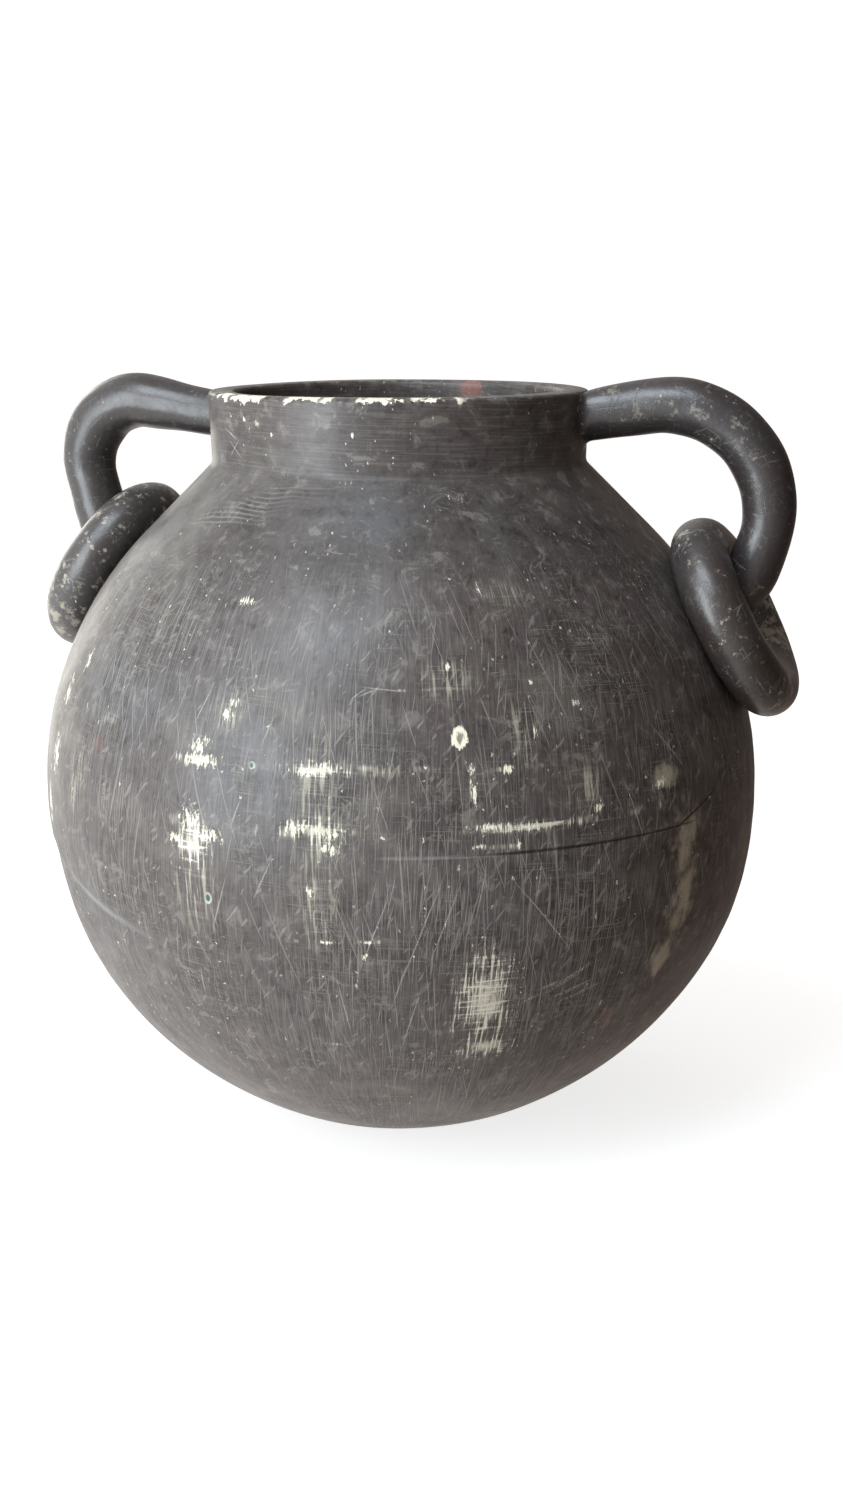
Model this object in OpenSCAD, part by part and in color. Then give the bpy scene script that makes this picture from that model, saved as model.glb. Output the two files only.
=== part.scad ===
// Round black clay pot with a short neck, two looped coil handles and a loose clay ring hung on each handle.
// +X is the right handle's side, -Y is the front and +Z is up. The origin is the centre of the flat base.

/* [Belly] */
// Diameter of the round belly
belly_d = 300; // [298:1:304]
// Diameter of the flat the pot stands on
base_d = 100; // [80:2:110]
// Thickness of the fired wall
wall = 8; // [7:0.5:9]
// Thickness of the floor over the flat
floor_t = 9; // [8:0.5:12]
// Steepness of the straight shoulder, from level
shoulder_slope = 45; // [43:1:46]

/* [Neck] */
// Outer diameter of the neck at the shoulder
neck_d = 155; // [152:1:158]
// Outer diameter of the rim
rim_d = 157; // [156:1:162]
// Inner diameter of the mouth, the same all the way down
mouth_d = 135; // [130:1:138]
// Height of the neck, from the shoulder to the rim
neck_h = 29.5; // [28:0.5:31]
// Chamfer on both edges of the rim
lip_chamfer = 1.5; // [1:0.25:2.5]

/* [Right handle] */
// Distance of its widest centre line from the pot's middle line
right_reach = 153.2; // [151:0.2:155]
// Depth of its highest centre line below the rim
right_drop = 5.6; // [5:0.2:8]
// Radius of its main bend
right_bend = 41.6; // [40:0.4:43]
// Slope of its root, which rises away from the neck
right_rise = 7.5; // [5:0.5:9]
// Thickness of its clay at the neck
right_root_d = 21.4; // [20:0.2:22.4]
// Thickness of its clay on the bend
right_crest_d = 23.4; // [22:0.2:24]
// Thickness of its clay down the leg
right_leg_d = 21.6; // [20:0.2:22]

/* [Left handle] */
// Distance of its widest centre line from the pot's middle line
left_reach = 147; // [146:0.2:149]
// Depth of its highest centre line below the rim
left_drop = 6.6; // [6:0.2:8]
// Radius of its main bend
left_bend = 26.8; // [25:0.4:29]
// Slope of its root, which rises away from the neck
left_rise = 8.5; // [6:0.5:10]
// Thickness of its clay at the neck
left_root_d = 19; // [18:0.2:21]
// Thickness of its clay on the bend
left_crest_d = 25.2; // [23:0.2:25.4]
// Thickness of its clay down the leg
left_leg_d = 22.4; // [21:0.2:22.6]
// Turn towards the back, off the line through the right handle
left_turn = 6.5; // [0:0.5:10]

/* [Rings] */
// Right ring: thickness of its clay
right_wire_d = 23.6; // [22:0.2:23.6]
// Right ring: diameter along the middle of its clay
right_ring_d = 63.4; // [63:0.2:65]
// Right ring: height angle of its centre, as seen from the belly's centre
right_ring_el = 27.7; // [27:0.1:28.4]
// Right ring: how far it is lifted, from lying on the belly
right_lift = 0; // [0:1:110]
// Left ring: thickness of its clay
left_wire_d = 23.2; // [22:0.2:23.2]
// Left ring: diameter along the middle of its clay
left_ring_d = 59.8; // [59.4:0.2:61.4]
// Left ring: height angle of its centre, as seen from the belly's centre
left_ring_el = 32.4; // [32:0.1:33]
// Left ring: how far it is lifted, from lying on the belly
left_lift = 0; // [0:1:88]
// Play between a ring and the clay it hangs against
play = 0.4; // [0.3:0.05:0.5]

/* [Joints] */
// Diameter of the clay coil worked into the corner round the root of a handle, on the neck
root_coil_d = 7; // [6:0.5:8]
// Diameter of the clay coil worked into the corner round the foot of a handle, on the belly
foot_coil_d = 5.6; // [4.8:0.2:6]
// Diameter of the clay coil worked into the corner under the neck
neck_coil_d = 6; // [4:0.5:7]

/* [Hidden] */
$fn = 96;

// Hairline between the handles, the coils and the pot, so that no two pieces overlap
hairline = 0.1;
belly_r = belly_d / 2;
centre_z = sqrt(pow(belly_r, 2) - pow(base_d / 2, 2));

// The shoulder leaves the belly on a tangent and meets the neck; heights are above the belly's centre.
shoulder_z = belly_r * cos(shoulder_slope);
shoulder_r = belly_r * sin(shoulder_slope);
neck_foot_z = shoulder_z + (shoulder_r - neck_d / 2) * tan(shoulder_slope);
rim_z = neck_foot_z + neck_h;
flare = (rim_d - neck_d) / 2 / neck_h;

// A handle leaves the neck, turns down through its main bend, comes down a straight leg and turns round
// the top of its ring into the belly. The leg is the common tangent of the main bend and of a circle
// about the ring's top, so the ring keeps its play all the way. The steps below are along its length.
grip_sides = 32;
root_steps = 5;
bend_steps = 20;
foot_steps = 9;

function along(a) = [cos(a), sin(a)];
function mix(a, b, t) = a + (b - a) * t;
function ease(a, b, t) = mix(a, b, (1 - cos(180 * min(max(t, 0), 1))) / 2);

// Right and left handles: reach, drop, bend, rise, thicknesses, and the ring's clay, size and height angle
RIGHT = [right_reach, right_drop, right_bend, right_rise, right_root_d, right_crest_d, right_leg_d,
         right_wire_d, right_ring_d, right_ring_el];
LEFT = [left_reach, left_drop, left_bend, left_rise, left_root_d, left_crest_d, left_leg_d,
        left_wire_d, left_ring_d, left_ring_el];
function drop(h) = h[1];
function bend(h) = h[2];
function rise(h) = h[3];
function root_r(h) = h[4] / 2;
function crest_r(h) = h[5] / 2;
function leg_r(h) = h[6] / 2;
function wire_r(h) = h[7] / 2;
function ring_r(h) = h[8] / 2;
function ring_el(h) = h[9];

// Distance from the belly's centre to the middle of a ring's clay where the ring lies on the belly
function seat_r(h) = belly_r + wire_r(h) + play;
// Middle of the ring, and middle of its clay at its top, which it swings about
function ring_centre(h) = sqrt(pow(seat_r(h), 2) - pow(ring_r(h), 2)) * along(ring_el(h));
function ring_top(h) = ring_centre(h) + ring_r(h) * along(ring_el(h) + 90);
// Middle of the main bend, and radius of the bend about the ring's top
function bend_centre(h) = [h[0] - bend(h), rim_z - drop(h) - bend(h)];
function around_r(h) = leg_r(h) + wire_r(h) + play;
// Angles, from level, at which the main bend starts and ends and at which the foot meets the belly
function start_angle(h) = 90 + rise(h);
function leg_angle(h) = let (v = ring_top(h) - bend_centre(h))
    atan2(v[1], v[0]) + acos((bend(h) - around_r(h)) / norm(v));
function foot_angle(h) = ring_el(h) - 90;
// Where the root meets the neck, where it runs into the main bend, and its length between the two
function bend_start(h) = bend_centre(h) + bend(h) * along(start_angle(h));
function root_length(h) = (bend_start(h)[0] - neck_d / 2) / cos(rise(h));
function root_start(h) = bend_start(h) - root_length(h) * along(rise(h));
// Where the handle has turned round the ring's top and runs straight into the belly
function foot_start(h) = ring_top(h) + around_r(h) * along(foot_angle(h));

// Radius of the clay at a length s from the neck: thickest at 45 degrees round the main bend
function length_at(h, a) = root_length(h) + bend(h) * (start_angle(h) - a) * PI / 180;
function clay_r(h, s) = let (crest = length_at(h, 45), leg = length_at(h, leg_angle(h)))
    s < crest ? ease(root_r(h), crest_r(h), s / crest)
              : ease(crest_r(h), leg_r(h), (s - crest) / (leg - crest));

// Stations along a handle, from inside the neck to inside the belly: point, angle of the normal, radius
function stations(h) = concat(
    [for (i = [-2:root_steps - 1]) let (s = i / root_steps * root_length(h))
        [root_start(h) + s * along(rise(h)), start_angle(h), clay_r(h, s)]],
    [for (i = [0:bend_steps]) let (a = mix(start_angle(h), leg_angle(h), i / bend_steps))
        [bend_centre(h) + bend(h) * along(a), a, clay_r(h, length_at(h, a))]],
    [for (i = [0:foot_steps]) let (a = mix(leg_angle(h), foot_angle(h), i / foot_steps))
        [ring_top(h) + around_r(h) * along(a), a, leg_r(h)]],
    [[foot_start(h) - 2 * wire_r(h) * along(ring_el(h)), foot_angle(h), leg_r(h)]]
);

// Rolled clay of a handle, in the XZ plane on the +X side, its radius made larger by gap
module rolled_clay(h, gap = 0) {
    rows = stations(h);
    last = len(rows) - 1;
    n = grip_sides;
    points = [for (row = rows, i = [0:n - 1])
        let (u = 360 * i / n, r = row[2] + gap, p = row[0] + r * cos(u) * along(row[1]))
        [p[0], r * sin(u), p[1]]];
    sides = [for (k = [0:last - 1], i = [0:n - 1]) let (j = (i + 1) % n)
        [k * n + i, k * n + j, (k + 1) * n + j, (k + 1) * n + i]];
    near_end = [for (i = [n - 1:-1:0]) i];
    far_end = [for (i = [0:n - 1]) last * n + i];
    polyhedron(points = points, faces = concat([near_end], sides, [far_end]), convexity = 6);
}

// Everything inside the pot's outer surface, made larger all over by gap and carried up past the rim
module pot_core(gap, $fn = 240) {
    top_h = neck_h + 20;
    neck_r = neck_d / 2 + gap;
    sphere(r = belly_r + gap);
    translate([0, 0, shoulder_z])
        cylinder(r1 = shoulder_r + gap, r2 = neck_r, h = neck_foot_z - shoulder_z);
    translate([0, 0, neck_foot_z])
        cylinder(r1 = neck_r, r2 = neck_r + flare * top_h, h = top_h);
}

module lower_bowl() {
    color("#3b3839") translate([0, 0, centre_z])
        rotate_extrude() difference() {
            intersection() {
                circle(r = belly_r);
                translate([0, -centre_z]) square([belly_r + 1, centre_z]);
            }
            intersection() {
                circle(r = belly_r - wall);
                translate([0, floor_t - centre_z]) square([belly_r, centre_z]);
            }
        }
}

// The upper half of the belly with the straight shoulder, as a profile offset inwards by inset
module upper_profile(inset) {
    r = belly_r - inset;
    z = r * cos(shoulder_slope);
    x = r * sin(shoulder_slope);
    rise = neck_foot_z - z;
    intersection() {
        circle(r = r);
        square([r + 1, z]);
    }
    polygon([[0, z], [x, z], [x - rise / tan(shoulder_slope), neck_foot_z], [0, neck_foot_z]]);
}

module upper_shell() {
    color("#3f3c3d") translate([0, 0, centre_z])
        rotate_extrude() difference() {
            upper_profile(0);
            upper_profile(wall);
            square([mouth_d / 2, neck_foot_z]);
        }
}

module neck_collar() {
    color("#434142") translate([0, 0, centre_z + neck_foot_z])
        rotate_extrude() polygon([
            [mouth_d / 2, 0],
            [neck_d / 2, 0],
            [rim_d / 2, neck_h - lip_chamfer],
            [rim_d / 2 - lip_chamfer, neck_h],
            [mouth_d / 2 + lip_chamfer, neck_h],
            [mouth_d / 2, neck_h - lip_chamfer]
        ]);
}

// Coil smoothed into the corner between the neck and the shoulder
module neck_coil() {
    out = neck_d / 2 + hairline;
    color("#4a4748") translate([0, 0, centre_z + neck_foot_z])
        rotate_extrude() difference() {
            translate([neck_d / 2, 0]) circle(d = neck_coil_d);
            polygon([
                [0, -neck_coil_d * tan(shoulder_slope)],
                [out + neck_coil_d, -neck_coil_d * tan(shoulder_slope)],
                [out, 0],
                [out + flare * neck_coil_d, neck_coil_d],
                [0, neck_coil_d]
            ]);
        }
}

// Puts what is drawn on the +X side into the left handle's place
module on_the_left() {
    rotate([0, 0, 180 - left_turn]) children();
}

module handle(h) {
    difference() {
        rolled_clay(h);
        pot_core(hairline);
    }
}

module right_handle() {
    color("#353334") translate([0, 0, centre_z]) handle(RIGHT);
}

module left_handle() {
    color("#353334") translate([0, 0, centre_z]) on_the_left() handle(LEFT);
}

// Coil of clay, d thick, about a rod of radius r that leaves the point at in the direction angle
module doughnut(at, angle, r, d) {
    translate([at[0], 0, at[1]])
        rotate([0, 90 - angle, 0])
            rotate_extrude() translate([r, 0]) circle(d = d);
}

// Coil round the root of a handle, up to the rim and no higher
module root_coil(h) {
    intersection() {
        difference() {
            doughnut(root_start(h) + [flare * neck_h / 2, 0], rise(h), root_r(h), root_coil_d);
            rolled_clay(h, hairline);
            pot_core(hairline);
        }
        translate([0, -belly_r, rim_z - belly_r]) cube([belly_r, belly_d, belly_r]);
    }
}

// Coil round the foot of a handle, on the belly
module foot_coil(h) {
    inwards = norm(foot_start(h)) - belly_r;
    difference() {
        doughnut(foot_start(h) - inwards * along(ring_el(h)), ring_el(h), leg_r(h), foot_coil_d);
        rolled_clay(h, hairline);
        pot_core(hairline);
    }
}

module right_root_coil() {
    color("#4a4748") translate([0, 0, centre_z]) root_coil(RIGHT);
}

module left_root_coil() {
    color("#4a4748") translate([0, 0, centre_z]) on_the_left() root_coil(LEFT);
}

module right_foot_coil() {
    color("#4a4748") translate([0, 0, centre_z]) foot_coil(RIGHT);
}

module left_foot_coil() {
    color("#4a4748") translate([0, 0, centre_z]) on_the_left() foot_coil(LEFT);
}

// A loose ring, swung outwards by lift about the middle of its clay at its top
module ring(h, lift) {
    t = ring_top(h);
    c = ring_centre(h) - t;
    translate([t[0], 0, t[1]]) rotate([0, -lift, 0]) translate([c[0], 0, c[1]])
        rotate([0, 90 - ring_el(h), 0])
            rotate_extrude() translate([ring_r(h), 0]) circle(r = wire_r(h));
}

module right_ring() {
    color("#2f2d2e") translate([0, 0, centre_z]) ring(RIGHT, right_lift);
}

module left_ring() {
    color("#2f2d2e") translate([0, 0, centre_z]) on_the_left() ring(LEFT, left_lift);
}

lower_bowl();
upper_shell();
neck_collar();
neck_coil();
right_handle();
left_handle();
right_root_coil();
left_root_coil();
right_foot_coil();
left_foot_coil();
right_ring();
left_ring();
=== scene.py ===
import math

import bpy
import numpy as np
from mathutils import Matrix, Vector


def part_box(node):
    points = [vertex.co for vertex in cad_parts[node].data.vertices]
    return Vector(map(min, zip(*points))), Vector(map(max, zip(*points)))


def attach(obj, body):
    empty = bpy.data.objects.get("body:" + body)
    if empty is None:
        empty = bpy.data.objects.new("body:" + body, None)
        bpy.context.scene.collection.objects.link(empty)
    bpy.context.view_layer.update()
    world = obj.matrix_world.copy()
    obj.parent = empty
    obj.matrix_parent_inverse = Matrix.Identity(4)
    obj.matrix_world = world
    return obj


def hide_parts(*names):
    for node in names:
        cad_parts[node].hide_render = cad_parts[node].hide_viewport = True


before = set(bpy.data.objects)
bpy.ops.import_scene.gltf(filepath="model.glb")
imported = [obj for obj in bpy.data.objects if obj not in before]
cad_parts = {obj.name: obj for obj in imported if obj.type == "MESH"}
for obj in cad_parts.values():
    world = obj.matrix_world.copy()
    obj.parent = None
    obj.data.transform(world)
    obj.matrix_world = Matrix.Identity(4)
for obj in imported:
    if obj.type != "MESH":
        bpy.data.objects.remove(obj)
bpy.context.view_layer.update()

# ---- The pot's sizes, in millimetres, as the CAD model has them. Heights are above the floor.
MM = 0.001
BELLY_R = 150.0
CENTRE_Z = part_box("lower_bowl")[1].z / MM
WALL = 8.0
FLOOR_T = 9.0
BASE_R = 50.0
SHOULDER = BELLY_R * math.sqrt(0.5)
NECK_R = 77.5
RIM_R = 78.5
MOUTH_R = 67.5
RIM_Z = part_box("neck_collar")[1].z / MM
NECK_FOOT_Z = CENTRE_Z + SHOULDER + SHOULDER - NECK_R
FLARE = (RIM_R - NECK_R) / (RIM_Z - NECK_FOOT_Z)
SCORE_Z = 146.6
LEFT_TURN = 6.5
RIGHT = dict(reach=153.2, drop=5.6, bend=41.6, rise=7.5, root=10.7, crest=11.7, leg=10.8,
             wire=11.8, ring=31.7, el=27.7)
LEFT = dict(reach=147.0, drop=6.6, bend=26.8, rise=8.5, root=9.5, crest=12.6, leg=11.2,
            wire=11.6, ring=29.9, el=32.4)
PLAY = 0.4
# The wall's outline: the angle at which the belly takes over from the base's edge, the corner's size at the
# neck's foot, and the rows beside the scored line, in mm from it
BELLY_FROM = -68.9
NECK_CORNER = 1.9
BESIDE_SCORE = np.array([-2.4, -1.5, -0.95, -0.55, -0.28, 0, 0.28, 0.55, 0.95, 1.5, 2.4])
# How the handles spread out, in mm: along the handle and over the wall, at the neck and at the belly
ROOT_REACH, ROOT_SPREAD = 4.4, 4.2
FOOT_REACH, FOOT_SPREAD = 3.0, 2.4


# ---- Small numeric helpers
def step(lo, hi, x):
    """Smooth rise from 0 at lo to 1 at hi."""
    t = np.clip((x - lo) / (hi - lo), 0.0, 1.0)
    return t * t * (3 - 2 * t)


def hump(x, centre, width):
    """A smooth bell of height 1 about centre."""
    return np.exp(-(((x - centre) / width) ** 2))


def around(a, b):
    """Signed angle from b to a, in degrees."""
    return (a - b + 180.0) % 360.0 - 180.0


def along(a):
    return np.array([math.cos(math.radians(a)), math.sin(math.radians(a))])


def unit(v):
    return v / np.maximum(np.linalg.norm(v, axis=-1, keepdims=True), 1e-12)


def wall_height(z):
    """How far up the outer wall a height z is, in metres, from the belly's widest line."""
    if z - CENTRE_Z < SHOULDER:
        return BELLY_R * math.asin((z - CENTRE_Z) / BELLY_R) * MM
    cone = min(z, NECK_FOOT_Z) - CENTRE_Z - SHOULDER
    return (BELLY_R * math.pi / 4 + cone * math.sqrt(2) + max(z - NECK_FOOT_Z, 0)) * MM


def wall_turn(az):
    """How far round the wall an angle is, in metres, measured at the belly."""
    return math.radians(az) * BELLY_R * MM


def wall_place(az, z):
    """The pattern coordinates, in metres, of a place on the outer wall."""
    return Vector((wall_turn(az), wall_height(z), 0.0))


def on_circle(radius, angles):
    """Points as (radius, height) on a circle about the belly's centre; the angles are in degrees."""
    a = np.radians(angles)
    return np.stack([radius * np.cos(a), CENTRE_Z + radius * np.sin(a)], -1)


# ---- Hand-made shape of the wall: slow waves, throwing ridges, a scored line and a soft crease.
# az is degrees round the pot from the front, positive towards the right handle.
def outer_shift(az, z):
    """How far the outer wall stands out from the true round, in mm."""
    a = np.radians(az)
    calm = 1 - hump(np.abs(around(az, 0)), 90, 30) * step(165, 195, z)
    slow = 0.30 * np.sin(2 * a + 1.1) * np.cos(z / 60) + 0.22 * np.sin(3 * a + z / 45 + 0.5)
    slow += 0.14 * np.sin(5 * a - z / 26 + 2.0) + 0.07 * np.sin(9 * a + z / 15)
    slow += 1.5 * hump(around(az, 97), 0, 38) * hump(z, 84, 42)
    ridges = 0.05 * np.sin(z / 2.3 + 1.2 * np.sin(2 * a)) * step(40, 80, z)
    ridges += 0.10 * hump(z, 178, 2.2) + 0.12 * hump(z, 156.4, 1.8)
    ridges += 0.08 * hump(z, 113.5, 2.0) + 0.08 * hump(z, 68, 2.5)
    tool = 0.10 * np.sin(z / 0.95 + 2.2 * np.sin(a + 0.6))
    tool = tool * hump(z, 266, 7) * hump(around(az, -14), 0, 26)
    slant = 102.7 + np.clip(-24 - az, -60, 60) * 0.57
    crease_and_highlight = -1.0 * step(-2.2, 2.2, slant - z) * (1 - step(6, 46, slant - z))
    crease_and_highlight = crease_and_highlight * step(-95, -62, az) * (1 - step(-42, -14, az))
    groove = -0.5 * np.clip(1 - np.abs(z - SCORE_Z) / 0.55, 0, 1)
    groove = groove * (0.35 + 0.65 * step(16, 30, az)) * step(9, 14, az) * (1 - step(60, 66, az))
    size = np.where(z > CENTRE_Z, 1 - 0.45 * step(230, 280, z), 1.0)
    stand = step(0.0, 14.0, z)
    return ((slow + ridges) * calm * size + tool + crease_and_highlight + groove) * stand


def inner_shift(az, z):
    """The same for the inside, which is less smooth."""
    a = np.radians(az)
    wave = 0.5 * np.sin(3 * a + z / 31) + 0.3 * np.sin(7 * a - z / 17 + 1)
    wave += 0.25 * np.sin(z / 4.1 + np.sin(a))
    return wave * step(12, 40, z) * (1 - step(250, 275, z))


def lip_shift(az, z, r):
    """Small chips and dips along the rim, in mm: most along the front outer edge."""
    a = np.radians(az)
    nick = np.sin(37 * a + 1.0) + np.sin(61 * a + 2.3) + np.sin(97 * a)
    nick = nick + 0.7 * np.sin(151 * a + 0.4)
    front = step(-62, -50, az) * (1 - step(28, 40, az))
    edge = step(RIM_Z - 3.2, RIM_Z - 0.4, z) * step(RIM_R - 5.5, RIM_R - 1.5, r)
    wave = 0.22 * np.sin(2 * a + 0.8) + 0.12 * np.sin(5 * a + 1.9)
    chips = edge * front * (0.28 + 0.16 * np.clip(nick, -1.2, 2.6))
    return wave * step(RIM_Z - 8, RIM_Z, z) * 0.6 - chips


def bezier(p0, p1, p2, n):
    """n points on the curve from p0 to p2 that heads for p1."""
    t = np.linspace(0, 1, n)[:, None]
    return (1 - t) ** 2 * np.array(p0) + 2 * t * (1 - t) * np.array(p1) + t ** 2 * np.array(p2)


def pot_profile():
    """Rows of the wall as (radius, height), from the middle of the base, up the outside, over the
    lip and down the inside to the middle of the floor. Also returns where each part starts."""
    marks = {}
    under = np.linspace(4, 43, 8)
    rows = [np.stack([under, 0.55 * (1 - step(20, 43, under))], -1)]
    rows.append(bezier((46.0, 0.0), (BASE_R, 0.0), on_circle(BELLY_R, BELLY_FROM), 7))
    fine = np.degrees(np.arcsin((SCORE_Z - CENTRE_Z + BESIDE_SCORE) / BELLY_R))
    els = np.concatenate([np.linspace(BELLY_FROM, 0, 58)[1:], fine, np.linspace(4.1, 45, 36)])
    els = np.unique(np.round(els, 5))
    marks["equator"] = sum(len(r) for r in rows) + int(np.argmin(np.abs(els)))
    rows.append(on_circle(BELLY_R, els))
    foot = np.array([NECK_R, NECK_FOOT_Z])
    down = foot + NECK_CORNER * np.array([1, -1]) / math.sqrt(2)
    up = foot + NECK_CORNER * unit(np.array([FLARE, 1.0]))
    top = np.array([SHOULDER, CENTRE_Z + SHOULDER])
    t = np.linspace(0, 1, 30)[1:-1, None]
    rows.append(top + (down - top) * t)
    marks["neck_outside"] = sum(len(r) for r in rows)
    rows.append(bezier(down, foot, up, 8))
    zs = np.linspace(up[1], RIM_Z - 2.2, 17)[1:]
    rows.append(np.stack([NECK_R + FLARE * (zs - NECK_FOOT_Z), zs], -1))
    rows.append(bezier((RIM_R - 0.07, RIM_Z - 2.0), (RIM_R, RIM_Z + 0.1), (RIM_R - 2.6, RIM_Z), 8)[1:])
    flat = np.linspace(RIM_R - 3.2, MOUTH_R + 2.6, 7)
    rows.append(np.stack([flat, RIM_Z + 0.25 * np.sin(np.linspace(0, math.pi, 7))], -1))
    rows.append(bezier((MOUTH_R + 2.0, RIM_Z), (MOUTH_R, RIM_Z), (MOUTH_R, RIM_Z - 2.6), 6))
    inner_r = BELLY_R - WALL
    s = inner_r * math.sqrt(0.5)
    knee = (MOUTH_R, CENTRE_Z + 2 * s - MOUTH_R)
    zs = np.linspace(RIM_Z - 4, knee[1] + 2.6, 12)
    rows.append(np.stack([np.full_like(zs, MOUTH_R), zs], -1))
    rows.append(bezier((MOUTH_R, knee[1] + 2), knee, (MOUTH_R + 1.6, knee[1] - 1.6), 6))
    marks["neck_inside"] = sum(len(r) for r in rows) - 1
    t = np.linspace(0, 1, 12)[1:, None]
    under_knee = np.array([MOUTH_R + 1.6, knee[1] - 1.6])
    rows.append(under_knee + (np.array([s, CENTRE_Z + s]) - under_knee) * t)
    ground = math.degrees(math.asin((FLOOR_T + 3.0 - CENTRE_Z) / inner_r))
    inside = np.unique(np.concatenate([np.linspace(42.5, 0, 18), np.linspace(0, ground, 28)]))[::-1]
    marks["equator_inside"] = sum(len(r) for r in rows) + int(np.argmin(np.abs(inside)))
    rows.append(on_circle(inner_r, inside))
    edge = rows[-1][-1]
    rows.append(bezier(edge, (edge[0] - 8, FLOOR_T), (edge[0] - 18, FLOOR_T), 6)[1:])
    rows.append(np.stack([np.linspace(edge[0] - 24, 4, 4), np.full(4, FLOOR_T)], -1))
    return np.concatenate(rows), marks


PROFILE, MARKS = pot_profile()
LIP_ROW = int(np.argmax(PROFILE[:, 1] + 0.001 * np.arange(len(PROFILE))))


def wall_grid(columns):
    """The columns' angles, and the points, the normals and the way up the wall in metres, row by row."""
    az = np.linspace(-180, 180, columns, endpoint=False)[None, :]
    r, z = PROFILE[:, 0:1], PROFILE[:, 1:2]
    tangent = unit(np.gradient(PROFILE, axis=0))
    out = np.stack([tangent[:, 1], -tangent[:, 0]], -1)
    outside = np.arange(len(PROFILE))[:, None] <= LIP_ROW
    shift = np.where(outside, outer_shift(az, z), inner_shift(az, z))
    shift = shift * (1 - step(RIM_Z - 6, RIM_Z - 1, z)) + lip_shift(az, z, r)
    rr = r + out[:, 0:1] * shift
    zz = z + out[:, 1:2] * shift
    a = np.radians(az)
    points = np.stack([rr * np.sin(a), -rr * np.cos(a), zz], -1)
    d_row = np.gradient(points, axis=0)
    d_col = np.roll(points, -1, 1) - np.roll(points, 1, 1)
    normals = unit(np.cross(d_col, d_row))
    seg = np.linalg.norm(np.diff(PROFILE, axis=0), axis=1)
    length = np.concatenate([[0], np.cumsum(seg)])
    rising = slice(8, MARKS["neck_outside"])
    zero = np.interp(CENTRE_Z, PROFILE[rising, 1], length[rising])
    return az[0], points, normals, (length - zero) * MM


# ---- Mesh building
def into_scene(name, data):
    thing = bpy.data.objects.new(name, data)
    bpy.context.scene.collection.objects.link(thing)
    return thing


def new_piece(name, points, faces, uv, normals, material):
    """A smooth mesh piece: points in mm, and one (u, v) and one normal for each face corner."""
    mesh = bpy.data.meshes.new(name)
    mesh.from_pydata((np.asarray(points) * MM).tolist(), [], [list(f) for f in faces])
    layer = mesh.uv_layers.new(name="pattern")
    layer.data.foreach_set("uv", np.asarray(uv, dtype=np.float32).ravel())
    mesh.polygons.foreach_set("use_smooth", np.ones(len(mesh.polygons), dtype=bool))
    mesh.materials.append(material)
    mesh.normals_split_custom_set([tuple(n) for n in unit(np.asarray(normals, dtype=float))])
    mesh.validate(clean_customdata=False)
    return into_scene(name, mesh)


def wall_piece(name, grid, bands, closed, material):
    """A piece of the pot's wall. bands are (first row, last row) of the grid, in order; closed joins the last
    band back to the first, and otherwise each open end is drawn in to a point on the middle line. The faces
    between two bands are the flat cuts where one piece meets the next."""
    az, points, normals, v = grid
    cols = len(az)
    rows = [i for a, b in bands for i in range(a, b + 1)]
    breaks = set(np.cumsum([b - a + 1 for a, b in bands])[:-1] - 1)
    pts = points[rows].reshape(-1, 3).tolist()
    faces, uv, nor = [], [], []
    u = [wall_turn(a) for a in np.append(az, 180.0)]
    pairs = [(k, k + 1, k in breaks) for k in range(len(rows) - 1)]
    if closed:
        pairs.append((len(rows) - 1, 0, True))
    for k0, k1, flat in pairs:
        r0, r1 = rows[k0], rows[k1]
        for j in range(cols):
            n = (j + 1) % cols
            faces.append((k0 * cols + j, k0 * cols + n, k1 * cols + n, k1 * cols + j))
            uv += [(u[j], v[r0]), (u[j + 1], v[r0]), (u[j + 1], v[r1]), (u[j], v[r1])]
            if flat:
                a, b, c = points[r0, j], points[r0, n], points[r1, n]
                nor += [np.cross(b - a, c - a)] * 4
            else:
                nor += [normals[r0, j], normals[r0, n], normals[r1, n], normals[r1, j]]
    if not closed:
        for k, r, down in ((0, rows[0], True), (len(rows) - 1, rows[-1], False)):
            tip = len(pts)
            pts.append([0.0, 0.0, float(points[r, :, 2].mean())])
            for j in range(cols):
                n = (j + 1) % cols
                a, b = (n, j) if down else (j, n)
                faces.append((k * cols + a, k * cols + b, tip))
                uv += [(u[j], v[r])] * 3
                nor += [np.array([0, 0, -1.0 if down else 1.0])] * 3
    return new_piece(name, pts, faces, uv, nor, material)


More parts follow.
